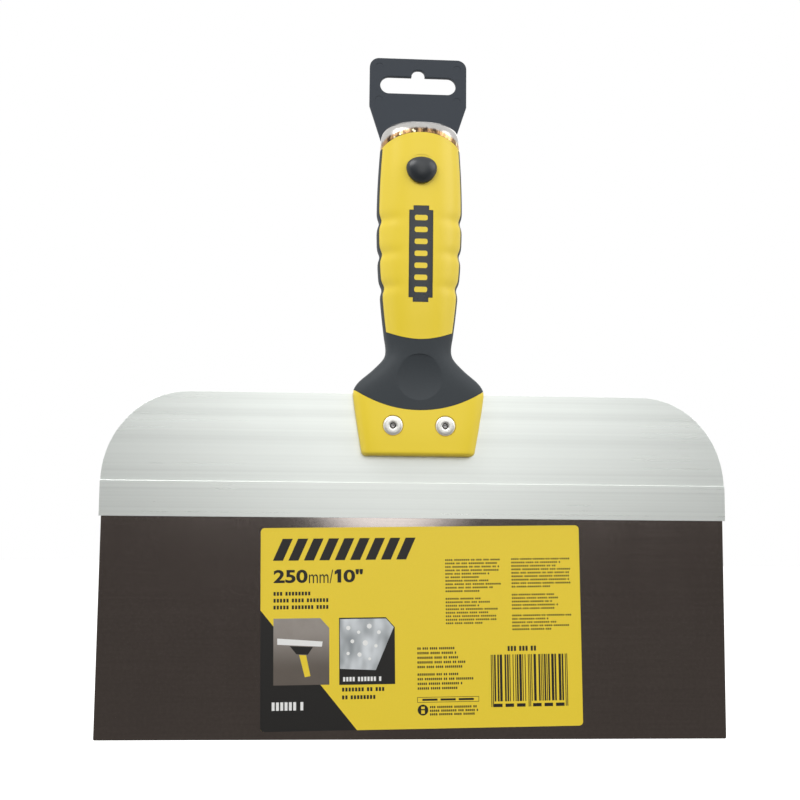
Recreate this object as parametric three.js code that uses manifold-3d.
// A drywall taping knife with its retail hang tab, as separate named pieces.
//
// Millimetres, +Z up, the printed front faces -Y. While it is built, every height is counted from the
// blade's working edge and every depth from the blade's mid-plane. At the end the whole assembly is moved
// so that the origin is where the tab's slot bears on a peg.

import * as THREE from 'three';
import { mergeVertices } from 'three/addons/utils/BufferGeometryUtils.js';
import Module from 'manifold-3d';

const wasm = await Module();
wasm.setup();

// ---------------------------------------------------------------- driving dimensions

const clearance = 0.3; // between two pieces where one is shaped around the other

const blade = { width: 249.6, height: 99.2, thickness: 0.5, cornerRadius: 0.6 };

const backing = {
  width: 250.8,
  bottom: 86.5,
  lipTop: 100.5,
  top: 136.3,
  lipThickness: 3.6,
  webThickness: 1.8,
  cornerWidth: 33.9,
  cornerHeight: 36.3,
};

const handle = {
  bottom: 111.2,
  top: 248.9,
  bottomRadius: 2.5,
  capStart: 240,
  skin: 1.5, // thickness of the overmould and of the end cap
  stripBottom: 159,
  stripTop: 236.5,
  stripWidth: 0.8,
  throughCut: 20, // half depth of a cutter that goes right through
};

// The lines where two materials meet are arcs: height on the axis, and how far they have moved at a reach.
const neckLowArc = { height: 129.3, reach: 24.8, rise: 7.3 };
const neckHighArc = { height: 157.6, reach: 13.8, rise: 3.4 };
const capArc = { height: 242.2, reach: 15, rise: -4.6 };

const rivet = { spacing: 20.8, height: 123, shankRadius: 2.1, flangeRadius: 3.85, boreRadius: 1.25 };
const rivetHoleRadius = rivet.shankRadius + clearance;
const rivetGrip = 0.1; // between a rivet's flange and its seat

// Where the two kinds of rivet end sit in the bolster.
const rivetSeat = { front: -8.45, back: 4.6, frontRadius: 4.2, backRadius: 5.2 };

const thumbRest = { height: 142.5, radius: 9.3, depth: 1.1 };

const badge = { bottom: 172.5, top: 211.5, width: 9.5, endWidth: 6.1, endHeight: 1.8, floor: 10.1 };

const pin = {
  height: 226.3,
  shankRadius: 3.7,
  headRadius: 5.8,
  headHeight: 2.9,
  rim: 0.5,
  seat: 10.9, // depth of the spot face under the head
  seatRadius: 6.5,
  lobe: 0.045, // how far the head's three lobes stand out, as a share of its radius
  breadth: 1.04, // how much wider than tall the head is, by each way
};

const tab = {
  width: 41.4,
  top: 281.8,
  shoulder: 261,
  tongueTop: 237.5,
  tongueWidth: 26,
  thickness: 2,
  middle: 12.55,
  cornerRadius: 4,
  slotWidth: 32.3,
  slotHeight: 7.4,
  slotTop: 273.8,
  notchWidth: 5.6,
  notchTop: 276.9,
  notchRadius: 2.5,
};

const label = { width: 127.5, height: 79, thickness: 0.15, x: 2.4, z: 43.7, tilt: 1, cornerRadius: 1.6 };

// ---------------------------------------------------------------- handle surface

// A smooth curve through [height, value] stations.
function curveThrough(stations) {
  const heights = stations.map(([height]) => height);
  const values = stations.map(([, value]) => value);
  const curve = new THREE.CubicInterpolant(heights, values, 1, [0]);
  return (height) => curve.evaluate(height)[0];
}

const plainHalfWidth = curveThrough([
  [111.2, 22.4],
  [122, 24.3],
  [133, 26],
  [137.2, 26.2],
  [140.6, 24.2],
  [145.5, 18.7],
  [150.4, 14.2],
  [154, 13.3],
  [160, 14.1],
  [168, 15.1],
  [176, 15.9],
  [186, 16.8],
  [199, 17.4],
  [213, 17.5],
  [226, 17.1],
  [240, 16.2],
]);

const plainHalfDepth = curveThrough([
  [111.2, 8.7],
  [120, 9],
  [134, 9],
  [146, 9],
  [156, 9.4],
  [170, 10.4],
  [186, 11],
  [205, 11.2],
  [226, 11.15],
  [240, 10.8],
]);

// Exponent of the superellipse section: boxy at the bolster, nearly elliptical in the grip.
const squareness = curveThrough([
  [111.2, 7],
  [134, 6],
  [146, 3.6],
  [160, 2.7],
  [200, 2.5],
  [249, 2.5],
]);

const notches = { heights: [178.9, 192.6, 206.4], depth: 0.95, spread: 2.1 };
const domePower = 2.6;

function notchAt(height) {
  const dips = notches.heights.map((centre) => Math.exp(-(((height - centre) / notches.spread) ** 2)));
  return notches.depth * Math.max(...dips);
}

// How far the section pulls in where the bottom edge is rounded over.
function bottomRounding(height) {
  const radius = handle.bottomRadius;
  const below = Math.max(0, handle.bottom + radius - height);
  return radius - Math.sqrt(Math.max(0, radius ** 2 - below ** 2));
}

// The butt end closes in a squarish dome: 1 where it starts, small at the very top.
function domeFactor(height) {
  if (height <= handle.capStart) return 1;
  const rise = (height - handle.capStart) / (handle.top - handle.capStart + 0.15);
  return (1 - rise ** domePower) ** (1 / domePower);
}

const halfWidth = (height) => plainHalfWidth(height) * domeFactor(height) - notchAt(height) - bottomRounding(height);
const halfDepth = (height) => plainHalfDepth(height) * domeFactor(height) - bottomRounding(height);

// ---------------------------------------------------------------- geometry helpers

function heightsBetween(bottom, top, step) {
  const count = Math.ceil((top - bottom) / step);
  return Array.from({ length: count + 1 }, (_, i) => bottom + ((top - bottom) * i) / count);
}

// Rounded first, because a small exponent would turn the last digit's noise into a visible step.
function signedPower(value, exponent) {
  const steady = Math.round(value * 1e6) / 1e6;
  return Math.sign(steady) * Math.abs(steady) ** exponent;
}

// A bar along Z with a superellipse section at each height: a unit cylinder with its rings moved.
function barAlongZ(heights, width, depth, sides) {
  const geometry = new THREE.CylinderGeometry(1, 1, 1, sides, heights.length - 1).rotateX(Math.PI / 2);
  const position = geometry.attributes.position;
  for (let i = 0; i < position.count; i += 1) {
    const height = heights[Math.round((position.getZ(i) + 0.5) * (heights.length - 1))];
    const across = Math.hypot(position.getX(i), position.getY(i)) > 0.5 ? 1 : 0;
    const angle = Math.atan2(position.getY(i), position.getX(i));
    const power = 2 / squareness(height);
    const x = across * width(height) * signedPower(Math.cos(angle), power);
    const y = across * depth(height) * signedPower(Math.sin(angle), power);
    position.setXYZ(i, x, y, height);
  }
  return geometry;
}

// A flat outline drawn in X and Z, given thickness along Y.
function plateInXZ(outline, yFront, yBack, curveSegments = 8) {
  const options = { depth: yBack - yFront, bevelEnabled: false, curveSegments };
  return new THREE.ExtrudeGeometry(outline, options).rotateX(Math.PI / 2).translate(0, yBack, 0);
}

// A turned piece around an axis along Y. The profile lists [radius, y].
function turnedAlongY(profile, x, z, sides = 20) {
  const points = profile.map(([radius, y]) => new THREE.Vector2(radius, y));
  return new THREE.LatheGeometry(points, sides).translate(x, 0, z);
}

const cutterInXZ = (outline, yBack = handle.throughCut) => solidFrom(plateInXZ(outline, -handle.throughCut, yBack));

const drillAlongY = (radius, yFront, yBack, x, z, sides = 20) =>
  solidFrom(new THREE.CylinderGeometry(radius, radius, yBack - yFront, sides).translate(x, (yFront + yBack) / 2, z));

function roundedRectangle(width, height, radius, centreX = 0, centreZ = 0) {
  const [left, right] = [centreX - width / 2, centreX + width / 2];
  const [low, high] = [centreZ - height / 2, centreZ + height / 2];
  const shape = new THREE.Shape();
  shape.moveTo(left + radius, low);
  shape.absarc(right - radius, low + radius, radius, -Math.PI / 2, 0);
  shape.absarc(right - radius, high - radius, radius, 0, Math.PI / 2);
  shape.absarc(left + radius, high - radius, radius, Math.PI / 2, Math.PI);
  shape.absarc(left + radius, low + radius, radius, Math.PI, Math.PI * 1.5);
  return shape;
}

// Points along an arc between materials, out to `half` on both sides, lifted by `lift`.
function arcPoints({ height, reach, rise }, lift, half, count = 16) {
  const radius = (reach ** 2 + rise ** 2) / (2 * Math.abs(rise));
  return Array.from({ length: count + 1 }, (_, i) => {
    const x = -half + (2 * half * i) / count;
    const drop = radius - Math.sqrt(Math.max(0, radius ** 2 - x ** 2));
    return new THREE.Vector2(x, height + lift + Math.sign(rise) * drop);
  });
}

// ---------------------------------------------------------------- solids for joining and cutting

function solidFrom(geometry) {
  const bare = geometry.clone();
  bare.deleteAttribute('normal');
  bare.deleteAttribute('uv');
  const merged = mergeVertices(bare, 1e-4);
  const corners = merged.index.array;
  const kept = [];
  for (let i = 0; i < corners.length; i += 3) {
    const [a, b, c] = [corners[i], corners[i + 1], corners[i + 2]];
    if (a !== b && b !== c && c !== a) kept.push(a, b, c);
  }
  const vertProperties = merged.attributes.position.array;
  return new wasm.Manifold(new wasm.Mesh({ numProp: 3, vertProperties, triVerts: Uint32Array.from(kept) }));
}

function geometryFrom(solid) {
  const { vertProperties, triVerts } = solid.getMesh();
  const geometry = new THREE.BufferGeometry();
  geometry.setAttribute('position', new THREE.BufferAttribute(vertProperties, 3));
  geometry.setIndex(new THREE.BufferAttribute(triVerts, 1));
  geometry.computeVertexNormals();
  return geometry;
}

const tidy = (geometry) => geometryFrom(solidFrom(geometry));

// ---------------------------------------------------------------- materials

const finish = (color, roughness, metalness) => new THREE.MeshStandardMaterial({ color, roughness, metalness });

const materials = {
  stainless: finish(0x5a5250, 0.25, 1),
  aluminium: finish(0xc9d0d2, 0.35, 1),
  yellowPlastic: finish(0xecc62c, 0.35, 0),
  blackRubber: finish(0x33383d, 0.75, 0),
  blackPlastic: finish(0x2b2f33, 0.5, 0),
  chrome: finish(0xc8c8c8, 0.1, 1),
  rivetAluminium: finish(0xd8dadb, 0.3, 1),
  steel: finish(0xb0b2b4, 0.35, 1),
  tabPlastic: finish(0x3b424a, 0.6, 0),
  printedFilm: finish(0xe8c836, 0.4, 0),
};

const assembly = new THREE.Group();

function addPiece(name, geometry, material) {
  const mesh = new THREE.Mesh(geometry, material);
  mesh.name = name;
  assembly.add(mesh);
}

// ---------------------------------------------------------------- blade, backing and label

const rivetSides = [
  ['left', -rivet.spacing / 2],
  ['right', rivet.spacing / 2],
];

function makeBlade() {
  const outline = roundedRectangle(blade.width, blade.height, blade.cornerRadius, 0, blade.height / 2);
  return tidy(plateInXZ(outline, -blade.thickness / 2, blade.thickness / 2, 3));
}

function makeBacking() {
  const lip = backing.lipThickness / 2;
  const web = backing.webThickness / 2;
  const channel = blade.thickness / 2 + clearance;
  const section = new THREE.Shape(
    [
      [-lip, backing.bottom],
      [-channel, backing.bottom],
      [-channel, blade.height + clearance],
      [channel, blade.height + clearance],
      [channel, backing.bottom],
      [lip, backing.bottom],
      [lip, backing.lipTop],
      [web, backing.lipTop],
      [web, backing.top],
      [-web, backing.top],
      [-web, backing.lipTop],
      [-lip, backing.lipTop],
    ].map(([y, z]) => new THREE.Vector2(y, z)),
  );
  const bar = new THREE.ExtrudeGeometry(section, { depth: backing.width, bevelEnabled: false });
  const [alongX, alongY, alongZ] = [0, 1, 2].map((axis) => new THREE.Vector3().setComponent(axis, 1));
  bar.applyMatrix4(new THREE.Matrix4().makeBasis(alongY, alongZ, alongX)).translate(-backing.width / 2, 0, 0);

  const half = backing.width / 2;
  const cornerX = half - backing.cornerWidth;
  const cornerZ = backing.top - backing.cornerHeight;
  const outline = new THREE.Shape();
  outline.moveTo(-half, backing.bottom - 1);
  outline.lineTo(half, backing.bottom - 1);
  outline.absellipse(cornerX, cornerZ, backing.cornerWidth, backing.cornerHeight, 0, Math.PI / 2);
  outline.absellipse(-cornerX, cornerZ, backing.cornerWidth, backing.cornerHeight, Math.PI / 2, Math.PI);
  let solid = solidFrom(bar).intersect(solidFrom(plateInXZ(outline, -lip - 1, lip + 1, 14)));
  for (const [, x] of rivetSides) {
    solid = solid.subtract(drillAlongY(rivetHoleRadius, -lip - 1, lip + 1, x, rivet.height));
  }
  return geometryFrom(solid);
}

function makeLabel() {
  const outline = roundedRectangle(label.width, label.height, label.cornerRadius);
  const front = -blade.thickness / 2 - 0.1 - label.thickness;
  const sheet = plateInXZ(outline, front, front + label.thickness, 4);
  return tidy(sheet.rotateY(-THREE.MathUtils.degToRad(label.tilt)).translate(label.x, 0, label.z));
}

// ---------------------------------------------------------------- handle

// Closely spaced where the surface turns quickly: the rounded bottom edge, the neck, the notches, the dome.
const surfaceHeights = [
  ...heightsBetween(handle.bottom, handle.bottom + handle.bottomRadius, 0.9),
  ...heightsBetween(120, 134, 7),
  ...heightsBetween(137, 157, 2.5),
  ...heightsBetween(162, 174, 6),
  ...heightsBetween(176.3, 211.5, 2.2),
  ...heightsBetween(220, handle.capStart, 10),
  ...heightsBetween(handle.capStart + 2, handle.top, 1.4),
];
const outer = solidFrom(barAlongZ(surfaceHeights, halfWidth, halfDepth, 32));

// The rigid core inside the overmould and the cap, inset from the handle's surface.
function innerCore(inset) {
  const heights = heightsBetween(handle.bottom - 1, handle.top - inset, 5.5);
  const width = (height) => plainHalfWidth(height) * domeFactor(height + inset) - inset;
  const depth = (height) => plainHalfDepth(height) * domeFactor(height + inset) - inset;
  return solidFrom(barAlongZ(heights, width, depth, 20));
}

// Everything the overmould may fill: the neck between two arcs, and a strip down each side.
function overmouldZone(margin) {
  const reach = 29; // past the widest point of the handle
  const lower = arcPoints(neckLowArc, -margin, reach);
  const upper = arcPoints(neckHighArc, margin, reach).reverse();
  const neck = cutterInXZ(new THREE.Shape([...lower, ...upper]));
  const edge = (height) => plainHalfWidth(height) - notchAt(height) - handle.stripWidth - margin;
  const stripHeights = heightsBetween(handle.stripBottom, handle.stripTop + margin, 2);
  const strips = [-1, 1].map((side) => {
    const inside = stripHeights.map((height) => new THREE.Vector2(side * edge(height), height));
    const outside = [stripHeights.at(-1), stripHeights[0]].map((height) => new THREE.Vector2(side * reach, height));
    return cutterInXZ(new THREE.Shape([...inside, ...outside]));
  });
  return neck.add(strips[0]).add(strips[1]);
}

// Everything above the arc where the end cap starts.
function capZone(margin) {
  const half = 24;
  const above = handle.top + 10;
  const corners = [new THREE.Vector2(half, above), new THREE.Vector2(-half, above)];
  return cutterInXZ(new THREE.Shape([...arcPoints(capArc, -margin, half), ...corners]));
}

function badgeOutline(margin) {
  const half = badge.width / 2 + margin;
  const endHalf = badge.endWidth / 2 + margin;
  const [low, high] = [badge.bottom - margin, badge.top + margin];
  const [lowStep, highStep] = [badge.bottom + badge.endHeight - margin, badge.top - badge.endHeight + margin];
  const rightSide = [
    [endHalf, low],
    [endHalf, lowStep],
    [half, lowStep],
    [half, highStep],
    [endHalf, highStep],
    [endHalf, high],
  ];
  const leftSide = rightSide.map(([x, z]) => [-x, z]).reverse();
  return new THREE.Shape([...rightSide, ...leftSide].map(([x, z]) => new THREE.Vector2(x, z)));
}

function thumbLens(side) {
  const { radius, depth, height } = thumbRest;
  const surface = side * halfDepth(height);
  const sphere = (radius ** 2 + depth ** 2) / (2 * depth);
  const rings = Array.from({ length: 5 }, (_, i) => (radius * (4 - i)) / 4);
  const bowl = rings.map((r) => [r, depth - (sphere - Math.sqrt(sphere ** 2 - r ** 2))]);
  const profile = [[0, -2], [radius, -2], ...bowl];
  const lens = turnedAlongY(profile, 0, 0, 24);
  if (side > 0) lens.rotateX(Math.PI);
  return solidFrom(lens.translate(0, surface, height));
}

function makeSoftGrip() {
  return outer
    .intersect(overmouldZone(0))
    .subtract(innerCore(handle.skin))
    .subtract(capZone(clearance))
    .subtract(thumbLens(-1))
    .subtract(thumbLens(1));
}

function makeHandleCore() {
  const webSlot = backing.webThickness / 2 + clearance;
  const slotBottom = 100;
  const slotTop = backing.top + clearance;
  const slotOutline = roundedRectangle(80, slotTop - slotBottom, 0.2, 0, (slotTop + slotBottom) / 2);
  const through = handle.throughCut;
  let solid = outer.subtract(overmouldZone(clearance)).subtract(capZone(clearance));
  solid = solid.add(innerCore(handle.skin + clearance).intersect(outer));
  solid = solid.subtract(solidFrom(plateInXZ(slotOutline, -webSlot, webSlot, 1)));
  for (const [, x] of rivetSides) {
    solid = solid.subtract(drillAlongY(rivetHoleRadius, -through, through, x, rivet.height));
    solid = solid.subtract(drillAlongY(rivetSeat.frontRadius, -through, rivetSeat.front, x, rivet.height));
    solid = solid.subtract(drillAlongY(rivetSeat.backRadius, rivetSeat.back, through, x, rivet.height));
  }
  solid = solid.subtract(cutterInXZ(badgeOutline(clearance / 2), -badge.floor));
  solid = solid.subtract(drillAlongY(pin.shankRadius + clearance, -through, through, 0, pin.height));
  return solid.subtract(drillAlongY(pin.seatRadius, -through, -pin.seat, 0, pin.height, 32));
}

const makeBadge = () => outer.intersect(cutterInXZ(badgeOutline(0), -badge.floor - 0.1));

const makeEndCap = () => outer.intersect(capZone(0)).subtract(innerCore(handle.skin));

// ---------------------------------------------------------------- rivets

function makeRivet(x) {
  const { shankRadius, flangeRadius, boreRadius } = rivet;
  const seat = rivetSeat.front - rivetGrip;
  const bulb = rivetSeat.back + 1;
  const profile = [
    [boreRadius, seat - 0.4],
    [boreRadius + 0.45, seat - 0.85],
    [flangeRadius - 0.6, seat - 0.8],
    [flangeRadius, seat - 0.35],
    [flangeRadius, seat],
    [shankRadius, seat],
    [shankRadius, bulb],
    [shankRadius + 1, bulb + 0.2],
    [shankRadius + 1, bulb + 1.6],
    [shankRadius + 0.3, bulb + 2],
    [boreRadius, bulb + 2],
    [boreRadius, seat - 0.4],
  ];
  return turnedAlongY(profile, x, rivet.height);
}

function makeMandrel(x) {
  const radius = rivet.boreRadius - clearance;
  const headBase = rivetSeat.back + 3.15;
  const profile = [
    [0, rivetSeat.front - rivetGrip],
    [radius, rivetSeat.front],
    [radius, headBase],
    [radius * 2, headBase],
    [radius * 2, headBase + 0.5],
    [radius, headBase + 1.1],
    [0, headBase + 1.2],
  ];
  return turnedAlongY(profile, x, rivet.height, 12);
}

function makeRivetWasher(x) {
  const [front, back] = [rivetSeat.back + 0.1, rivetSeat.back + 0.9];
  const radius = rivetSeat.backRadius - 0.4;
  const profile = [
    [rivetHoleRadius, front],
    [radius, front],
    [radius, back],
    [rivetHoleRadius, back],
    [rivetHoleRadius, front],
  ];
  return turnedAlongY(profile, x, rivet.height);
}

// ---------------------------------------------------------------- hang tab and its pin

function makeHangTab() {
  const { width, top, cornerRadius, shoulder, tongueTop, tongueWidth, slotWidth, slotHeight, slotTop } = tab;
  const half = width / 2;
  const tongue = tongueWidth / 2;
  const outline = new THREE.Shape();
  outline.moveTo(half, shoulder);
  outline.absarc(half - cornerRadius, top - cornerRadius, cornerRadius, 0, Math.PI / 2);
  outline.absarc(cornerRadius - half, top - cornerRadius, cornerRadius, Math.PI / 2, Math.PI);
  outline.lineTo(-half, shoulder);
  outline.lineTo(-tongue, tongueTop);
  outline.absarc(0, pin.height, tongue, Math.PI, Math.PI * 2);
  outline.lineTo(tongue, tongueTop);

  const end = slotHeight / 2;
  const middle = slotTop - end;
  const notch = tab.notchWidth / 2;
  const { notchRadius } = tab;
  const slot = new THREE.Path();
  slot.absarc(end - slotWidth / 2, middle, end, Math.PI / 2, Math.PI * 1.5);
  slot.absarc(slotWidth / 2 - end, middle, end, -Math.PI / 2, Math.PI / 2);
  slot.lineTo(notch, slotTop);
  slot.absarc(notch - notchRadius, tab.notchTop - notchRadius, notchRadius, 0, Math.PI / 2);
  slot.absarc(notchRadius - notch, tab.notchTop - notchRadius, notchRadius, Math.PI / 2, Math.PI);
  slot.lineTo(-notch, slotTop);
  slot.closePath();

  const pinHole = new THREE.Path();
  pinHole.absarc(0, pin.height, pin.shankRadius + 0.15, 0, Math.PI * 2);
  outline.holes.push(slot, pinHole);
  return tidy(plateInXZ(outline, tab.middle - tab.thickness / 2, tab.middle + tab.thickness / 2, 8));
}

function makePushPin() {
  const { shankRadius, headRadius, headHeight, rim, lobe, breadth } = pin;
  const seat = -pin.seat - 0.12;
  const dome = Array.from({ length: 7 }, (_, i) => {
    const angle = (i * Math.PI) / 12;
    return [headRadius * Math.cos(angle), seat - rim - (headHeight - rim) * Math.sin(angle)];
  }).reverse();
  dome[0][0] = 0;
  const back = tab.middle + tab.thickness / 2 - 0.1;
  const profile = [...dome, [headRadius, seat], [shankRadius, seat], [shankRadius, back], [0, back]];
  const geometry = turnedAlongY(profile, 0, 0, 24);
  const position = geometry.attributes.position;
  for (let i = 0; i < position.count; i += 1) {
    const [x, y, z] = [position.getX(i), position.getY(i), position.getZ(i)];
    const onHead = y < seat + 1e-3 && Math.hypot(x, z) > shankRadius + 0.01;
    if (!onHead) continue;
    const reach = 1 + lobe * Math.sin(3 * Math.atan2(z, x));
    position.setX(i, x * reach * breadth);
    position.setZ(i, (z * reach) / breadth);
  }
  return geometry.translate(0, 0, pin.height);
}

// ---------------------------------------------------------------- assembly

addPiece('blade', makeBlade(), materials.stainless);
addPiece('backing', makeBacking(), materials.aluminium);
addPiece('label', makeLabel(), materials.printedFilm);
addPiece('handle_core', geometryFrom(makeHandleCore()), materials.yellowPlastic);
addPiece('soft_grip', geometryFrom(makeSoftGrip()), materials.blackRubber);
addPiece('badge_inlay', geometryFrom(makeBadge()), materials.blackPlastic);
addPiece('end_cap', geometryFrom(makeEndCap()), materials.chrome);
for (const [side, x] of rivetSides) {
  addPiece(`rivet_${side}`, tidy(makeRivet(x)), materials.rivetAluminium);
  addPiece(`mandrel_${side}`, tidy(makeMandrel(x)), materials.steel);
  addPiece(`rivet_washer_${side}`, tidy(makeRivetWasher(x)), materials.steel);
}
addPiece('hang_tab', makeHangTab(), materials.tabPlastic);
addPiece('push_pin', tidy(makePushPin()), materials.blackPlastic);

assembly.position.set(0, -tab.middle, -tab.notchTop);

export default assembly;
